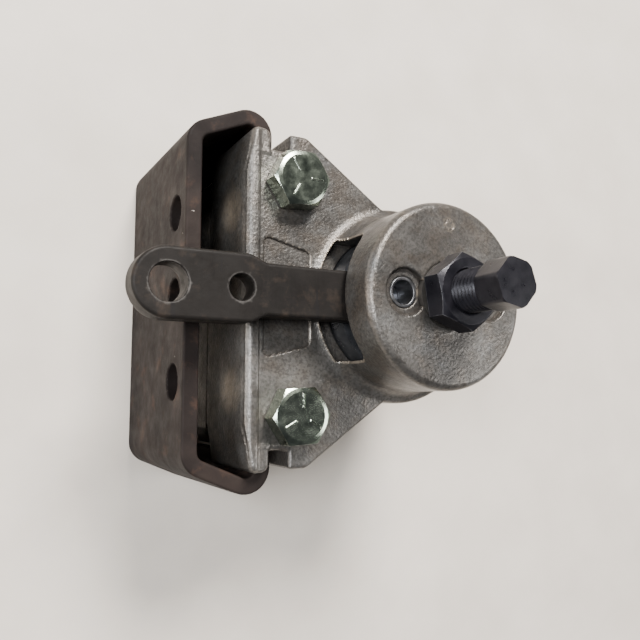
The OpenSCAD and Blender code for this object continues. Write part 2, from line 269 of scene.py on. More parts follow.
def shade(mesh, p, g, spacing):
    """Corner normals: the shape's own where it is near the facet's, and the facet's elsewhere."""
    loops = len(mesh.loops)
    vert, side = np.zeros(loops, np.int32), np.zeros(loops, np.int32)
    mesh.loops.foreach_get("vertex_index", vert)
    mesh.loops.foreach_get("edge_index", side)
    ends = np.zeros(len(mesh.edges) * 2, np.int32)
    mesh.edges.foreach_get("vertices", ends)
    ends = ends.reshape(-1, 2)
    length = np.linalg.norm(p[ends[:, 0]] - p[ends[:, 1]], axis=1)
    start = np.zeros(len(mesh.polygons), np.int32)
    mesh.polygons.foreach_get("loop_start", start)
    flat = np.zeros(len(mesh.polygons) * 3)
    mesh.polygons.foreach_get("normal", flat)
    count = np.diff(np.append(start, loops))
    flat = np.repeat(flat.reshape(-1, 3), count, axis=0)
    size = np.repeat(np.maximum.reduceat(length[side], start), count)
    own = g[vert]
    limit = np.where(size < SMALL_FACET * spacing, math.cos(BEND_SMALL), math.cos(BEND_LARGE))
    keep_own = (own * flat).sum(1) > limit
    mesh.shade_smooth()
    mesh.normals_split_custom_set(np.where(keep_own[:, None], own, flat).tolist())


def mark(mesh, f, depth, spacing):
    """Corner normals, and how far each point is on an outer edge or in a hollow."""
    n = len(mesh.vertices)
    p = np.zeros(n * 3)
    mesh.vertices.foreach_get("co", p)
    p = p.reshape(-1, 3) / MM
    _, g = growth(f, p)
    g /= np.maximum(np.linalg.norm(g, axis=1), 1e-9)[:, None]
    edge = np.clip((value(f, p - g * depth) + depth) / depth, 0, 1)
    hollow = np.clip((depth * 2 - value(f, p + g * depth * 2)) / depth / 2, 0, 1)
    shade(mesh, p, g, spacing)
    for key, data in (("edge", edge), ("hollow", hollow)):
        a = mesh.attributes.new(key, "FLOAT", "POINT")
        a.data.foreach_set("value", data.astype(np.float32))


# ---------------------------------------------------------------- materials


class Paint:
    """A node material built step by step."""

    def __init__(self, name):
        self.material = bpy.data.materials.new(name)
        self.material.use_nodes = True
        self.tree = self.material.node_tree
        self.tree.nodes.clear()
        self.out = self.tree.nodes.new("ShaderNodeOutputMaterial")
        self.shader = self.tree.nodes.new("ShaderNodeBsdfPrincipled")
        self.tree.links.new(self.shader.outputs[0], self.out.inputs[0])
        self.coords = self.tree.nodes.new("ShaderNodeTexCoord").outputs["Object"]

    def new(self, kind, **inputs):
        n = self.tree.nodes.new(kind)
        for k, v in inputs.items():
            if hasattr(v, "is_output"):
                self.tree.links.new(v, n.inputs[k])
            else:
                n.inputs[k].default_value = v
        return n

    def stretch(self, sx, sy, sz):
        n = self.new("ShaderNodeMapping", Vector=self.coords)
        n.inputs["Scale"].default_value = (sx, sy, sz)
        return n.outputs[0]

    def noise(self, scale, detail=4.0, rough=0.55, coords=None):
        n = self.new("ShaderNodeTexNoise", Vector=coords or self.coords, Scale=scale,
                     Detail=detail, Roughness=rough)
        return n.outputs[0]

    def cells(self, scale):
        return self.new("ShaderNodeTexVoronoi", Vector=self.coords, Scale=scale).outputs["Distance"]

    def ramp(self, fac, *stops):
        n = self.tree.nodes.new("ShaderNodeValToRGB")
        self.tree.links.new(fac, n.inputs[0])
        el = n.color_ramp.elements
        while len(el) < len(stops):
            el.new(0.5)
        for element, (position, c) in zip(el, stops):
            element.position = position
            element.color = (*c, 1) if isinstance(c, tuple) else (c, c, c, 1)
        return n.outputs[0]

    def mix(self, fac, a, b, mode="MIX"):
        n = self.tree.nodes.new("ShaderNodeMix")
        n.data_type = "RGBA"
        n.blend_type = mode
        for i, v in ((0, fac), (6, a), (7, b)):
            if hasattr(v, "is_output"):
                self.tree.links.new(v, n.inputs[i])
            else:
                n.inputs[i].default_value = v if i == 0 else (*v, 1)
        return n.outputs[2]

    def math(self, op, a, b=0.0):
        n = self.tree.nodes.new("ShaderNodeMath")
        n.operation = op
        n.use_clamp = op == "MULTIPLY_ADD"
        for i, v in ((0, a), (1, b)):
            if hasattr(v, "is_output"):
                self.tree.links.new(v, n.inputs[i])
            else:
                n.inputs[i].default_value = v
        return n.outputs[0]

    def attr(self, name):
        n = self.tree.nodes.new("ShaderNodeAttribute")
        n.attribute_name = name
        return n.outputs["Fac"]

    def bump(self, height, distance, strength=1.0):
        n = self.new("ShaderNodeBump", Height=height, Distance=distance, Strength=strength)
        self.tree.links.new(n.outputs[0], self.shader.inputs["Normal"])

    def finish(self, colour, rough, metallic, shine=0.5):
        self.tree.links.new(colour, self.shader.inputs["Base Color"])
        self.tree.links.new(rough, self.shader.inputs["Roughness"])
        self.shader.inputs["Metallic"].default_value = metallic
        self.shader.inputs["Specular IOR Level"].default_value = shine
        return self.material


# Two painted patches of light on the T head, in mm, where light through the bracket's holes falls. The
# scale is about one over the half size in metres.
LIGHT_PATCH_AT, LIGHT_PATCH_HALF = (14.7, 24.5, 3), (4, 8, 9)
LIGHT_PATCH_SCALE = (250.0, 125.0, 111.0)


def cast_metal():
    """Die-cast aluminium: cloudy, stained and specked, worn edges that also carry a painted highlight,
    painted shade in hollows, painted light patches.
    """
    p = Paint("cast_aluminium")
    cloud = p.ramp(p.noise(48, 6, 0.62), (0.30, (0.044, 0.040, 0.037)), (0.52, (0.095, 0.089, 0.082)),
                   (0.74, (0.190, 0.179, 0.166)))
    stain = p.ramp(p.noise(150, 5, 0.6), (0.44, 0.0), (0.68, 1.0))
    colour = p.mix(p.math("MULTIPLY", stain, 0.45), cloud, (0.112, 0.086, 0.064))
    cool = p.ramp(p.noise(95, 5, 0.6), (0.55, 0.0), (0.72, 1.0))
    colour = p.mix(p.math("MULTIPLY", cool, 0.35), colour, (0.085, 0.096, 0.106))
    speck = p.ramp(p.noise(1250, 2, 0.5), (0.40, 1.0), (0.54, 0.0))
    colour = p.mix(p.math("MULTIPLY", speck, 0.38), colour, (0.022, 0.020, 0.018))
    # Lighter on outer edges: real wear, and a painted highlight on the rounded edges.
    worn = p.ramp(p.math("MULTIPLY", p.attr("edge"), p.noise(420, 5, 0.7)), (0.10, 0.0), (0.36, 1.0))
    colour = p.mix(p.math("MULTIPLY", worn, 0.60), colour, (0.38, 0.315, 0.245))
    # Painted light: two soft patches on the T head's face, where light through the bracket's mounting holes
    # falls.
    for side in (1, -1):
        light_patch = p.tree.nodes.new("ShaderNodeMapping")
        p.tree.links.new(p.coords, light_patch.inputs[0])
        light_patch.inputs["Location"].default_value = (-LIGHT_PATCH_AT[0] / LIGHT_PATCH_HALF[0], -side * LIGHT_PATCH_AT[1] / LIGHT_PATCH_HALF[1],
                                                -LIGHT_PATCH_AT[2] / LIGHT_PATCH_HALF[2])
        light_patch.inputs["Scale"].default_value = LIGHT_PATCH_SCALE
        ball = p.tree.nodes.new("ShaderNodeTexGradient")
        ball.gradient_type = "SPHERICAL"
        p.tree.links.new(light_patch.outputs[0], ball.inputs[0])
        soft = p.ramp(p.math("MULTIPLY", ball.outputs[1], p.noise(500, 4, 0.6)), (0.05, 0.0), (0.40, 1.0))
        colour = p.mix(p.math("MULTIPLY", soft, 0.75), colour, (0.30, 0.245, 0.185))
    # Painted shade: the hollows are darkened where shade falls in them.
    painted_hollow_shade = p.ramp(p.attr("hollow"), (0.10, 0.0), (0.60, 1.0))
    colour = p.mix(p.math("MULTIPLY", painted_hollow_shade, 0.60), colour, (0.060, 0.050, 0.042))
    rough = p.ramp(p.noise(300, 4), (0.3, 0.44), (0.7, 0.29))
    grain = p.math("ADD", p.noise(1300, 3, 0.6), p.math("MULTIPLY", p.noise(330, 3), 0.9))
    p.bump(grain, 0.00021, 0.70)
    return p.finish(colour, rough, 0.62)


def bracket_paint():
    """Dark brown paint on the bracket, with rust and small chips."""
    p = Paint("bracket_paint")
    base = p.ramp(p.noise(60, 5), (0.32, (0.0085, 0.0066, 0.0062)), (0.55, (0.0150, 0.0114, 0.0104)),
                  (0.78, (0.0270, 0.0200, 0.0172)))
    rust = p.ramp(p.noise(130, 6, 0.65), (0.56, 0.0), (0.72, 1.0))
    colour = p.mix(p.math("MULTIPLY", rust, 0.42), base, (0.082, 0.046, 0.031))
    worn = p.ramp(p.math("MULTIPLY", p.attr("edge"), p.noise(380, 5, 0.7)), (0.26, 0.0), (0.42, 1.0))
    colour = p.mix(p.math("MULTIPLY", worn, 0.35), colour, (0.17, 0.14, 0.125))
    chip = p.ramp(p.noise(210, 3, 0.7), (0.735, 0.0), (0.75, 1.0))
    colour = p.mix(chip, colour, (0.42, 0.38, 0.34))
    rough = p.ramp(p.noise(200, 4), (0.3, 0.50), (0.7, 0.68))
    p.bump(p.noise(480, 5, 0.6), 0.00014, 0.7)
    return p.finish(colour, rough, 0.05, 0.07)


def lever_metal():
    """The lever's dark oxide, with a drawn grain, fine lines and a little rust."""
    p = Paint("lever_steel")
    base = p.ramp(p.noise(70, 6, 0.62), (0.30, (0.0070, 0.0060, 0.0054)), (0.55, (0.0120, 0.0104, 0.0094)),
                  (0.76, (0.0215, 0.0186, 0.0168)))
    rust = p.ramp(p.noise(160, 6, 0.65), (0.55, 0.0), (0.74, 1.0))
    colour = p.mix(p.math("MULTIPLY", rust, 0.3), base, (0.075, 0.052, 0.038))
    line = p.ramp(p.noise(34, 3, 0.5, p.stretch(14, 1.0, 3)), (0.655, 0.0), (0.68, 1.0))
    colour = p.mix(p.math("MULTIPLY", line, 0.75), colour, (0.010, 0.009, 0.009))
    grain = p.ramp(p.noise(60, 4, 0.7, p.stretch(30, 1.2, 6)), (0.40, 0.0), (0.66, 1.0))
    colour = p.mix(p.math("MULTIPLY", grain, 0.35), colour, (0.012, 0.010, 0.009))
    worn = p.ramp(p.math("MULTIPLY", p.attr("edge"), p.noise(320, 5, 0.7)), (0.17, 0.0), (0.36, 1.0))
    colour = p.mix(p.math("MULTIPLY", worn, 0.35), colour, (0.17, 0.16, 0.15))
    rough = p.ramp(p.noise(260, 4), (0.3, 0.42), (0.7, 0.62))
    p.bump(p.noise(700, 5, 0.6), 0.00010, 0.6)
    return p.finish(colour, rough, 0.15, 0.11)


def metal(name, dark, light, worn_colour, rough_low, rough_high, metallic,
          grain=900.0, depth=0.00005, shine=0.5):
    """A plain metal between two colours, with another colour on worn edges."""
    p = Paint(name)
    colour = p.ramp(p.noise(170, 5, 0.6), (0.30, dark), (0.72, light))
    worn = p.ramp(p.math("MULTIPLY", p.attr("edge"), p.noise(420, 4)), (0.15, 0.0), (0.32, 1.0))
    colour = p.mix(p.math("MULTIPLY", worn, 0.5), colour, worn_colour)
    rough = p.ramp(p.noise(340, 4), (0.3, rough_low), (0.7, rough_high))
    p.bump(p.noise(grain, 4, 0.6), depth, 0.6)
    return p.finish(colour, rough, metallic, shine)


def lining_mix():
    """Moulded friction lining with metal chips in it."""
    p = Paint("friction")
    base = p.ramp(p.noise(500, 5, 0.6), (0.35, (0.045, 0.038, 0.032)), (0.65, (0.10, 0.085, 0.07)))
    chip = p.ramp(p.cells(900), (0.12, 1.0), (0.22, 0.0))
    colour = p.mix(p.math("MULTIPLY", chip, 0.6), base, (0.34, 0.25, 0.13))
    rough = p.ramp(p.noise(600, 3), (0.3, 0.75), (0.7, 0.92))
    p.bump(p.noise(900, 5, 0.6), 0.0002, 0.8)
    return p.finish(colour, rough, 0.0)


MATS = {
    "cast_aluminium": cast_metal(),
    "bracket_paint": bracket_paint(),
    "lever_steel": lever_metal(),
    "black_oxide": metal("black_oxide", (0.005, 0.005, 0.007), (0.017, 0.016, 0.020),
                         (0.17, 0.17, 0.18), 0.26, 0.40, 0.4, shine=0.22),
    "zinc_plate": metal("zinc_plate", (0.22, 0.26, 0.21), (0.38, 0.43, 0.35),
                        (0.95, 0.97, 0.88), 0.15, 0.26, 1.0, 1500.0, 0.00002),
    "spring_steel": metal("spring_steel", (0.075, 0.075, 0.080), (0.16, 0.16, 0.165),
                          (0.75, 0.75, 0.73), 0.28, 0.42, 0.9),
    "ground_steel": metal("ground_steel", (0.13, 0.135, 0.15), (0.24, 0.245, 0.26),
                          (0.5, 0.5, 0.5), 0.26, 0.38, 0.9),
    "bearing_steel": metal("bearing_steel", (0.60, 0.60, 0.61), (0.74, 0.74, 0.75),
                           (0.8, 0.8, 0.8), 0.07, 0.14, 1.0),
    "bush_iron": metal("bush_iron", (0.040, 0.036, 0.032), (0.085, 0.078, 0.070),
                       (0.25, 0.24, 0.22), 0.40, 0.58, 0.6),
    "cage_brass": metal("cage_brass", (0.46, 0.36, 0.16), (0.62, 0.50, 0.24),
                        (0.75, 0.65, 0.4), 0.28, 0.42, 0.95),
    "pad_steel": metal("pad_steel", (0.014, 0.014, 0.016), (0.034, 0.033, 0.034),
                       (0.25, 0.25, 0.25), 0.5, 0.65, 0.2),
    "friction": lining_mix(),
}

# ---------------------------------------------------------------- shapes, sizes in mm as in the CAD model
# Heights along the brake's axis, read from the frame: the back, the line where the castings join, the
# bracket's edge, the faces that the bolt heads sit on, and the drum's front
HEAD_HEIGHT = 6.35
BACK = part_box("rear_casting")[0].z / MM
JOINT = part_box("rear_casting")[1].z / MM
EDGE_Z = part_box("mounting_bracket")[1].z / MM
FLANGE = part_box("clamp_bolts")[1].z / MM - HEAD_HEIGHT
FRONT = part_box("front_casting")[1].z / MM

# Places of the axes that everything is built around
AXIS = 61.5
BOLT_X, BOLT_Y = 28.35, 30.9
PIN_OFFSET = 13.3
SCREW_OFFSET = 9

# The two castings
HEAD_FACE = 14.7
ROUND_END = 27.8
DRUM_RADIUS = 24.6
CHAMBER, CHAMBER_TOP, CHAMBER_FLOOR = 20.5, 31.2, -26.3
HUB_BORE, HUB_BORE_LOW = 8.6, 30
PIN_BORE, PIN_BORE_LOW, PIN_SINK = 3.97, 28, 6
SLOT_HALF, SLOT_FLOOR, SLOT_TOP = 16.5, 9, 25.2
STEP_RADIUS, STEP_TOP = 26.2, 16.5
DISC_WALL, DISC_HALF = 36, 5.5
RIDGE_HEIGHT, PANEL_DEPTH = 0.7, 0.6
SPOT_X, SPOT_Y, SPOT_RADIUS = 61.8, 18.4, 1.3
CLAMP_BORE = 4.96
POCKET_RADIUS, POCKET_DEPTH = 9.6, 11.2
SCREW_BORE, SCREW_SINK, SCREW_SINK_DEPTH = 2.55, 4.9, 6
PIN_RADIUS, PIN_LOW, PIN_TOP = 3.96, 28.3, 35.2

# The small parts
HALF_FLATS = 7.145
SHANK_RADIUS, SHANK_LENGTH = 4.76, 56.4
CLAMP_NUT_TOP = 8.8
JAM_HALF_FLATS, JAM_LOW, JAM_HIGH = 8.73, 38.3, 44.65
JAM_TURN = math.radians(38.5)

front_half = [
    (HEAD_FACE, 33, 5), (16.6, 45.1, 2), (19.1, 45.1, 0.6), (19.1, 39.6, 0.8), (27.4, 39.6, 0.8),
    (27.4, 44.6, 0.8), (32.6, 44.6, 3), (57.3, 27.4, 0), (61.5, 27, 0)]
rear_half = [
    (HEAD_FACE, 34.6, 1), (18.6, 39.6, 2), (27.4, 39.6, 0.8), (27.4, 44.6, 0.8), (32.6, 44.6, 3),
    (57.3, 27.4, 0), (61.5, 27, 0)]
front_flat = outline(rounded(mirrored(front_half)))
rear_flat = outline(rounded(mirrored(rear_half)))
over_flat = outline(rounded([(16.7, 45.1, 2.2), (21.9, 45.1, 2.2), (21.9, 37.6, 0.3), (16.7, 37.6, 0)]))
ridge_flat = outline(rounded(mirrored([(15.1, 33, 4), (16.9, 44.7, 1.2), (18.7, 44.7, 0.3)])))
panel_flat = outline(rounded(mirrored([(19.9, 16, 1.5), (33.4, 12.6, 1.5)])))


def bolt_bores(f, x, y, z, r, low, high, soft=0.4):
    """A bore, or a pocket, on the axis of each clamp bolt."""
    for s in (-1, 1):
        f = cut(f, rod(x, y, z, BOLT_X, s * BOLT_Y, r, low, high), soft)
    return f


def front_shape(x, y, z):
    """The front casting: ears and T head, drum, chamber, lever slot and the panel."""
    rr = np.hypot(x - AXIS, y)
    flat = np.minimum(front_flat(x, y), rr - ROUND_END)
    body = slab(flat, z, JOINT, FLANGE, 0.35, 1.1)
    body = np.maximum(body, meet(HEAD_FACE - x, z - FLANGE, 3.0))
    over = slab(over_flat(x, np.abs(y)), z, EDGE_Z + 0.6, FLANGE, 0.3, 1.0)
    body = union(body, over, 0.6)
    ridge = slab(ridge_flat(x, y), z, FLANGE - 2, FLANGE + RIDGE_HEIGHT, 0.2, 0.9)
    body = union(body, np.maximum(ridge, meet(14.9 - x, z - FLANGE - RIDGE_HEIGHT, 2.2)), 0.35)
    drum = np.maximum(meet(rr - DRUM_RADIUS, z - FRONT, 2.2), JOINT - z)
    f = union(body, drum, 4.2)
    f = cut(f, np.maximum(rr - CHAMBER, np.maximum(JOINT - 3 - z, z - CHAMBER_TOP)), 0.3)
    f = cut(f, np.maximum(rr - HUB_BORE, HUB_BORE_LOW - z), 0.4)
    for s in (-1, 1):
        q = np.hypot(x - AXIS - s * PIN_OFFSET, y)
        f = cut(f, np.maximum(q - PIN_BORE, PIN_BORE_LOW - z), 0.15)
        f = cut(f, np.maximum(q - PIN_SINK, PIN_TOP - z), 0.45)
    slot = meet(np.abs(y) - SLOT_HALF, z - SLOT_TOP, 2.6)
    slot = np.maximum(np.maximum(slot, x - AXIS), SLOT_FLOOR - z)
    slot = np.maximum(slot, np.minimum(rr - STEP_RADIUS, STEP_TOP - z))
    f = cut(f, slot, 0.5)
    f = bolt_bores(f, x, y, z, CLAMP_BORE, JOINT - 3, 20)
    disc = np.maximum(DISC_WALL - x, z - (JOINT + DISC_HALF))
    f = cut(f, disc, 0.8)
    panel = np.maximum(panel_flat(x, y), FLANGE - PANEL_DEPTH - z)
    f = cut(f, panel, 0.3)
    spot = np.hypot(x - SPOT_X, y - SPOT_Y)
    return cut(f, np.maximum(np.abs(spot - SPOT_RADIUS) - 0.22, FRONT - 0.2 - z), 0.12)


def rear_shape(x, y, z):
    """The rear casting: chamber, nut pockets and the pad screws' bores."""
    rr = np.hypot(x - AXIS, y)
    flat = np.minimum(rear_flat(x, y), rr - ROUND_END)
    f = slab(flat, z, BACK, JOINT, 1.4, 0.35)
    f = cut(f, np.maximum(rr - CHAMBER, CHAMBER_FLOOR - z), 0.4)
    f = cut(f, np.maximum(DISC_WALL - x, JOINT - DISC_HALF - z), 0.8)
    f = bolt_bores(f, x, y, z, CLAMP_BORE, BACK - 3, 0)
    f = bolt_bores(f, x, y, z, POCKET_RADIUS, BACK - 3, BACK + POCKET_DEPTH, 0.6)
    for s in (-1, 1):
        f = cut(f, rod(x, y, z, AXIS + s * SCREW_OFFSET, 0, SCREW_BORE, BACK - 3, 0), 0.2)
        sink = rod(x, y, z, AXIS + s * SCREW_OFFSET, 0, SCREW_SINK, BACK - 3, BACK + SCREW_SINK_DEPTH)
        f = cut(f, sink, 0.4)
    return f


LEG_END, LEG_RISE = 23.8, 10.3
WALL, INNER_END, LIP_TIP, OPEN_HALF = 4.2, 19.6, 41, 54.3
WEB_HALF, OUTER_BEND, INNER_BEND = 44, 6.6, 2.4
MOUNT_SPACING, MOUNT_RADIUS = 22.2, 4.75
slope = math.atan(LEG_RISE / LEG_END)


def inner_leg(x):
    """Y of a leg's inner face, at a distance from the web's outer face."""
    return WEB_HALF + x * math.tan(slope) - WALL / math.cos(slope)


leg_out = [(LEG_END, LIP_TIP, 0.4), (LEG_END, OPEN_HALF, OUTER_BEND), (0, WEB_HALF, OUTER_BEND)]
leg_in = [
    (WALL, inner_leg(WALL), INNER_BEND), (INNER_END, inner_leg(INNER_END), INNER_BEND),
    (INNER_END, LIP_TIP, 0.4)]
leg_in_below = [(x, -y, r) for x, y, r in reversed(leg_in)]
section = outline(rounded(mirrored(leg_out) + leg_in_below + leg_in, 9))


def bracket_shape(x, y, z):
    """The bent plate, with its three mounting holes along the web."""
    f = slab(section(x, y), z, BACK, EDGE_Z, 0.45, 0.6)
    for k in (-1, 0, 1):
        f = cut(f, np.maximum(np.hypot(y - k * MOUNT_SPACING, z) - MOUNT_RADIUS, x - 8), 0.35)
    return f


LEVER_LOW, LEVER_TOP = 17.35, 23.7
ARM_HALF, NECK_END, DISC_RADIUS = 6.5, 52, 19
PADDLE_START, PADDLE_RUN, PADDLE_SWELL = 44.6, 5.6, 1.95
EYE, SMALL_EYE, TIP_RADIUS = 69.7, 51.9, 8.45
HUB_HOLE, EYE_RADIUS, SMALL_EYE_RADIUS = 7.15, 4.6, 3.25
TRACK_SWEEP, TRACK_FLOOR = math.radians(16), 21.8
BALL_CIRCLE, TRACK_RADIUS = 13.5, 3.075


def lever_flat(x, y):
    """The lever seen along the axis: a round disc, a straight neck and a wider paddle."""
    u = AXIS - x
    v = np.abs(y)
    neck = np.maximum(v - ARM_HALF, np.maximum(u - NECK_END, -u))
    t = np.clip((u - PADDLE_START) / PADDLE_RUN, 0, 1)
    half = ARM_HALF + PADDLE_SWELL * t * t * (3 - 2 * t)
    head = np.maximum((v - half) * 0.93, np.maximum(PADDLE_START - u, u - EYE))
    tip = np.hypot(u - EYE, v) - TIP_RADIUS
    return np.minimum(np.minimum(neck, head), np.minimum(tip, np.hypot(u, v) - DISC_RADIUS))


def lever_shape(x, y, z):
    """The lever with its two holes, the hub's bore and three arc-shaped ball tracks."""
    f = slab(lever_flat(x, y), z, LEVER_LOW, LEVER_TOP, 0.25, 0.9)
    f = cut(f, np.hypot(x - AXIS, y) - HUB_HOLE, 0)
    f = cut(f, np.hypot(x - AXIS + EYE, y) - EYE_RADIUS, 0.3)
    f = cut(f, np.hypot(x - AXIS + SMALL_EYE, y) - SMALL_EYE_RADIUS, 0.3)
    turn = np.arctan2(y, x - AXIS)
    for a in (90, 210, 330):
        t = math.radians(a)
        along = (turn - t + math.pi) % TAU - math.pi
        near = t + np.clip(along, -TRACK_SWEEP, TRACK_SWEEP)
        u = x - AXIS - BALL_CIRCLE * np.cos(near)
        v = y - BALL_CIRCLE * np.sin(near)
        track = np.hypot(u, v) - TRACK_RADIUS
        f = cut(f, np.maximum(track, TRACK_FLOOR - z), 0.1)
    return f


def cone(q, rise, slope, radius, length):
    """A cone's side. Its radius is the one at rise 0, and length turns the error into a distance."""
    return (q + rise * slope - radius) / length


def bolt_head(x, y, z, first):
    """One head at the origin, bearing face at z = 0, with three raised radial marks."""
    q = np.hypot(x, y)
    above = z - HEAD_HEIGHT
    f = meet(hexagon(x, y, HALF_FLATS, math.radians(3)), -(z - 0.4), 0.15)
    f = meet(f, above, 0.12)
    f = np.maximum(f, cone(q, above, 1.9, 6.75, 2.15))
    f = np.maximum(f, cone(q, above, 4.2, 6.2, 4.3))
    f = union(f, rod(x, y, z, 0, 0, 6.85, 0, 0.6))
    for k in range(3):
        t = math.radians(first + 120 * k)
        along = x * math.cos(t) + y * math.sin(t)
        across = -x * math.sin(t) + y * math.cos(t)
        bar = np.maximum(np.abs(across) - 0.25, np.maximum(2.2 - along, along - 5.7))
        f = union(f, np.maximum(meet(bar, z - 6.58, 0.12), 5.5 - z), 0.05)
    return f


def bolt_shape(side):
    """A clamp bolt: its head on the ears' faces, and a plain shank down to the nut."""
    def f(x, y, z):
        u, v, w = x - BOLT_X, y - side * BOLT_Y, z - FLANGE
        head = bolt_head(u, v, w, 0 if side > 0 else 90)
        shank = np.maximum(np.hypot(u, v) - SHANK_RADIUS, w)
        return np.minimum(head, meet(shank, -SHANK_LENGTH - w, 0.6))
    return f


def clamp_nut(side):
    """A clamp bolt's nut, chamfered on both sides, in its pocket at the back."""
    def f(x, y, z):
        u, v = x - BOLT_X, y - side * BOLT_Y
        q = np.hypot(u, v)
        low, high = BACK + 0.6, BACK + CLAMP_NUT_TOP
        g = slab(hexagon(u, v, HALF_FLATS, 0.3), z, low, high, 0.12, 0.12)
        g = np.maximum(g, cone(q, low - z, 1.9, 6.9, 2.15))
        g = np.maximum(g, cone(q, z - high, 1.9, 6.9, 2.15))
        return cut(g, q - 4.8, 0.3)
    return f


def jam_nut_shape(x, y, z):
    """The jam nut on the stud, with a chamfer on its outer side only."""
    u = x - AXIS
    q = np.hypot(u, y)
    f = slab(hexagon(u, y, JAM_HALF_FLATS, JAM_TURN), z, JAM_LOW, JAM_HIGH, 0.15, 0.15)
    f = np.maximum(f, cone(q, z - JAM_HIGH, 1.8, 8.35, 2.06))
    return cut(f, q - 5.62, 0.5)


def pin_shape(side):
    """A hollow pin in the drum's front wall."""
    def f(x, y, z):
        q = np.hypot(x - AXIS - side * PIN_OFFSET, y)
        return slab(np.maximum(q - PIN_RADIUS, 3.06 - q), z, PIN_LOW, PIN_TOP, 0.2, 0.25)
    return f


def washer_shape(side):
    """A split washer: the cut through it leans."""
    def f(x, y, z):
        u, v = x - BOLT_X, y - side * BOLT_Y
        q = np.hypot(u, v)
        g = slab(np.maximum(q - 8.6, 4.9 - q), z, BACK + CLAMP_NUT_TOP, BACK + POCKET_DEPTH, 0.2, 0.2)
        return cut(g, np.maximum(np.abs(v - 0.25 * (z - BACK - 10)) - 0.6, -u), 0.1)
    return f


def screw_shape(side):
    """A socket screw for the outer pad, its head sunk in the rear casting."""
    def f(x, y, z):
        u = x - AXIS - side * SCREW_OFFSET
        q = np.hypot(u, y)
        head = slab(q - 4.4, z, BACK + 2.6, BACK + 6, 0.5, 0.1)
        head = cut(head, np.maximum(hexagon(u, y, 1.98), z - BACK - 4.6), 0.12)
        return np.minimum(head, slab(q - 2.4, z, BACK + 5.5, -23.5, 0.2, 0.3))
    return f


def claim(o, node, body, slot):
    """Give an object its slot's material, put it under its body and hide the CAD node that it stands for.
    """
    o.data.materials.append(MATS[slot])
    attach(o, body)
    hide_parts(node)


def add(name, f, low, high, spacing, node, body, slot, keep=0.35, depth=0.9):
    """Build one visible piece from its distance and put it in its node's place."""
    claim(surface(name, f, low, high, spacing, keep, depth), node, body, slot)


def around(x, y, half, low, high):
    """The two corners of a box with a square footprint."""
    return (x - half, y - half, low), (x + half, y + half, high)


add("front_housing", front_shape, (14, -46, JOINT), (90, 46, FRONT), 0.5,
    "front_casting", "caliper", "cast_aluminium", 0.4, 0.6)
add("rear_housing", rear_shape, (14, -46, BACK), (90, 46, JOINT), 0.55,
    "rear_casting", "caliper", "cast_aluminium", 0.3, 0.6)
add("bracket_plate", bracket_shape, (0, -53, BACK), (24, 53, EDGE_Z), 0.42,
    "mounting_bracket", "bracket", "bracket_paint", 0.22)
add("lever_arm", lever_shape, (-17, -19, LEVER_LOW), (81, 19, LEVER_TOP), 0.3,
    "lever", "lever", "lever_steel", 0.22)
add("lock_nut", jam_nut_shape, (50, -11.2, JAM_LOW), (73, 11.2, JAM_HIGH), 0.22,
    "jam_nut", "nut", "black_oxide", 0.5, 0.5)
for s, tag in ((1, "upper"), (-1, "lower")):
    low, high = around(BOLT_X, s * BOLT_Y, 8.4, FLANGE - SHANK_LENGTH, FLANGE + 6.7)
    add(f"bolt_{tag}", bolt_shape(s), low, high, 0.17, "clamp_bolts", "caliper", "zinc_plate", 0.6, 0.3)
    low, high = around(BOLT_X, s * BOLT_Y, 8.4, BACK, BACK + 9)
    add(f"nut_{tag}", clamp_nut(s), low, high, 0.3, "clamp_nuts", "caliper", "zinc_plate", 0.5, 0.5)
    low, high = around(BOLT_X, s * BOLT_Y, 9, BACK + CLAMP_NUT_TOP, BACK + POCKET_DEPTH)
    add(f"washer_{tag}", washer_shape(s), low, high, 0.25,
        "lock_washers", "caliper", "zinc_plate", 0.5, 0.5)
for s, tag in ((1, "right"), (-1, "left")):
    low, high = around(AXIS + s * PIN_OFFSET, 0, 4, PIN_LOW, PIN_TOP)
    add(f"pin_{tag}", pin_shape(s), low, high, 0.18, "ramp_pins", "caliper", "spring_steel", 0.5, 0.4)
    low, high = around(AXIS + s * SCREW_OFFSET, 0, 4.5, BACK + 2.6, -23.4)
    add(f"screw_{tag}", screw_shape(s), low, high, 0.2, "pad_screws", "caliper", "black_oxide", 0.5, 0.4)


def on_axis(radius, angle, z):
    """A point in metres, at a radius and an angle about the drum's axis."""
    return ((AXIS + radius * math.cos(angle)) * MM, radius * math.sin(angle) * MM, z * MM)


def turned(name, heights, sides, radius, node, body, slot):
    """A closed bar on the drum's axis: radius(angle, height) at each of the heights."""
    verts, faces = [], []
    for z in heights:
        for i in range(sides):
            a = TAU * i / sides
            verts.append(on_axis(radius(a, z), a, z))
    for j in range(len(heights) - 1):
        for i in range(sides):
            k = (i + 1) % sides
            faces.append((j * sides + i, j * sides + k, (j + 1) * sides + k, (j + 1) * sides + i))
    faces.append(tuple(reversed(range(sides))))
    faces.append(tuple((len(heights) - 1) * sides + i for i in range(sides)))
    mesh = bpy.data.meshes.new(name)
    mesh.from_pydata(verts, [], faces)
    mesh.shade_smooth()
    for p in mesh.polygons[-2:]:
        p.use_smooth = False
    o = new_object(name, mesh)
    edges = o.modifiers.new("edges", "EDGE_SPLIT")
    edges.split_angle = math.radians(32)
    claim(o, node, body, slot)


PITCH, THREAD_DEPTH, STUD_RADIUS = 1.27, 0.62, 5.555
FOOT, THREAD_LOW, HEX_LOW, TIP = 9, 40, 53.2, 60.9


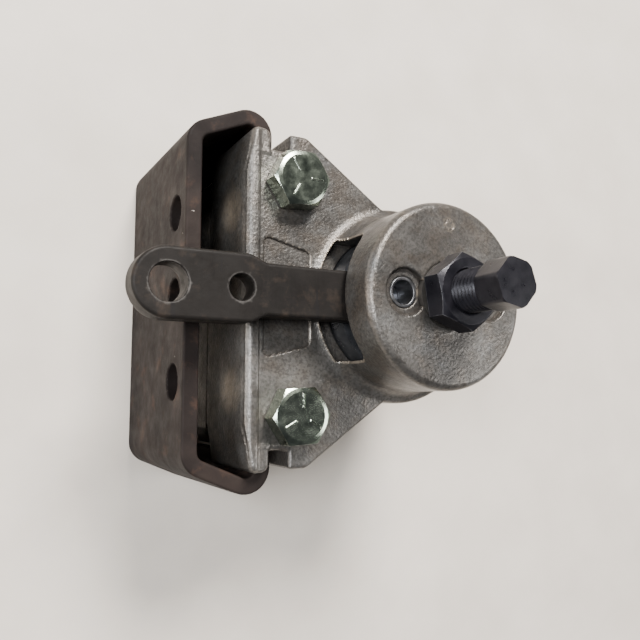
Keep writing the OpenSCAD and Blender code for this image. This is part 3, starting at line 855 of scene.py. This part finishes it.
def stud_radius(a, z):
    """Plain shank, spiral thread, and a hexagonal end turned down at its corners."""
    r = STUD_RADIUS
    if THREAD_LOW < z < HEX_LOW - 0.3:
        phase = (z / PITCH - a / TAU) % 1
        fade = min(1, (HEX_LOW - 0.3 - z) / 0.8, (z - THREAD_LOW) / 0.8)
        r -= THREAD_DEPTH * (1 - abs(2 * phase - 1)) * fade
    if z >= HEX_LOW:
        fold = (a + math.radians(12)) % (TAU / 6) - TAU / 12
        r = min(6.2, STUD_RADIUS / math.cos(fold))
    if z > TIP - 0.4:
        r = min(r, 5.95 + (TIP - z) * 0.6)
    if z < FOOT + 0.6:
        r = min(r, 5.0 + (z - FOOT))
    return r


stud_heights = [FOOT, FOOT + 0.6, 20, 30, THREAD_LOW - 0.1]
stud_heights += [THREAD_LOW + PITCH / 8 * i for i in range(int((HEX_LOW - (THREAD_LOW + 0.1)) / PITCH * 8))]
stud_heights += [HEX_LOW - 0.02, HEX_LOW, HEX_LOW + 0.6, TIP - 0.5, TIP - 0.25, TIP]
turned("stud", sorted(set(stud_heights)), 120, stud_radius, "adjusting_stud", "stud", "black_oxide")


def coil():
    """The return spring, as one helix with closed end turns."""
    wire, radius, low, high = 1.0, 16.0, 2.4, 8.5
    turns, steps, sides = 3.0, 180, 12
    verts, faces = [], []
    for i in range(steps + 1):
        t = i / steps
        a = TAU * turns * t
        ease = min(1.0, max(0.0, (t * turns - 0.75) / (turns - 1.5)))
        z = low + wire + (high - low - 2 * wire) * ease
        for k in range(sides):
            b = TAU * k / sides
            verts.append(on_axis(radius + wire * math.cos(b), a, z + wire * math.sin(b)))
    for i in range(steps):
        for k in range(sides):
            m = (k + 1) % sides
            faces.append((i * sides + k, i * sides + m, (i + 1) * sides + m, (i + 1) * sides + k))
    faces.append(tuple(range(sides)))
    faces.append(tuple(steps * sides + k for k in reversed(range(sides))))
    mesh = bpy.data.meshes.new("coil_spring")
    mesh.from_pydata(verts, [], [tuple(reversed(f)) for f in faces])
    mesh.shade_smooth()
    o = new_object("coil_spring", mesh)
    claim(o, "return_spring", "caliper", "spring_steel")
    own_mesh(o)


coil()

# The other CAD nodes stay and take a finished material
slots = {p["node"]: p["material_slot"] for p in frame["record"]["subparts"]}
for node_name, o in frame["nodes"].items():
    if o.hide_render:
        continue
    o.data.materials.clear()
    o.data.materials.append(MATS[slots[node_name]])

# ---------------------------------------------------------------- floor, light and camera
FLOOR_HALF = 3
LAMP_TARGET = Vector((0.04, 0, 0))
floor_mesh = bpy.data.meshes.new("floor")
floor_mesh.from_pydata(
    [(i * FLOOR_HALF, j * FLOOR_HALF, BACK * MM) for i, j in ((-1, -1), (1, -1), (1, 1), (-1, 1))],
    [], [(0, 1, 2, 3)])
floor = new_object("floor", floor_mesh)
cloth = Paint("floor_pale")
floor_mesh.materials.append(cloth.finish(
    cloth.ramp(cloth.noise(40, 5), (0.3, (0.555, 0.498, 0.435)), (0.7, (0.615, 0.556, 0.490))),
    cloth.ramp(cloth.noise(60, 3), (0.3, 0.86), (0.7, 0.94)), 0.0))

SKY_STOPS = ((0.15, (0.92, 0.905, 0.88, 1)), (0.66, (0.10, 0.104, 0.115, 1)))
SKY_STRENGTH = 0.62
world = bpy.data.worlds.new("studio")
scene.world = world
world.use_nodes = True
sky = world.node_tree
back = sky.nodes["Background"]
direction = sky.nodes.new("ShaderNodeSeparateXYZ")
sky.links.new(sky.nodes.new("ShaderNodeTexCoord").outputs["Generated"], direction.inputs[0])
by_height = sky.nodes.new("ShaderNodeValToRGB")
sky.links.new(direction.outputs["Z"], by_height.inputs[0])
for element, (position, colour) in zip(by_height.color_ramp.elements, SKY_STOPS):
    element.position = position
    element.color = colour
sky.links.new(by_height.outputs[0], back.inputs[0])
back.inputs[1].default_value = SKY_STRENGTH


def lamp(name, place, size, power, colour):
    """A round lamp that looks at the middle of the object."""
    data = bpy.data.lights.new(name, "AREA")
    data.shape = "DISK"
    data.size = size
    data.energy = power
    data.color = colour
    o = new_object(name, data)
    o.location = place
    aim = LAMP_TARGET - Vector(place)
    o.rotation_euler = aim.to_track_quat("-Z", "Y").to_euler()


lamp("key", (0.10, 0.72, 0.80), 0.40, 34.0, (1.0, 0.965, 0.92))
lamp("fill", (-0.50, 0.05, 0.72), 0.35, 12.0, (0.94, 0.97, 1.0))
lamp("low", (-0.85, 0.0, 0.16), 0.35, 5.0, (1.0, 0.98, 0.96))
lamp("rim", (0.76, -0.10, 0.60), 0.35, 3.6, (1.0, 0.99, 0.97))

CAMERA_PLACE = Vector((-0.0539, -0.0260, 0.1785))
CAMERA_AIM = Vector((0.0365, -0.0055, 0.0130))
camera = new_object("camera", bpy.data.cameras.new("camera"))
camera.data.sensor_width = 36
camera.data.lens = 39.7
camera.data.clip_start = 0.005
camera.data.clip_end = 20
view = (CAMERA_AIM - CAMERA_PLACE).normalized()
right = view.cross(Vector((0, 1, 0))).normalized()
turn = Matrix((right, right.cross(view), -view)).transposed()
camera.matrix_world = Matrix.Translation(CAMERA_PLACE) @ turn.to_4x4()
scene.camera = camera
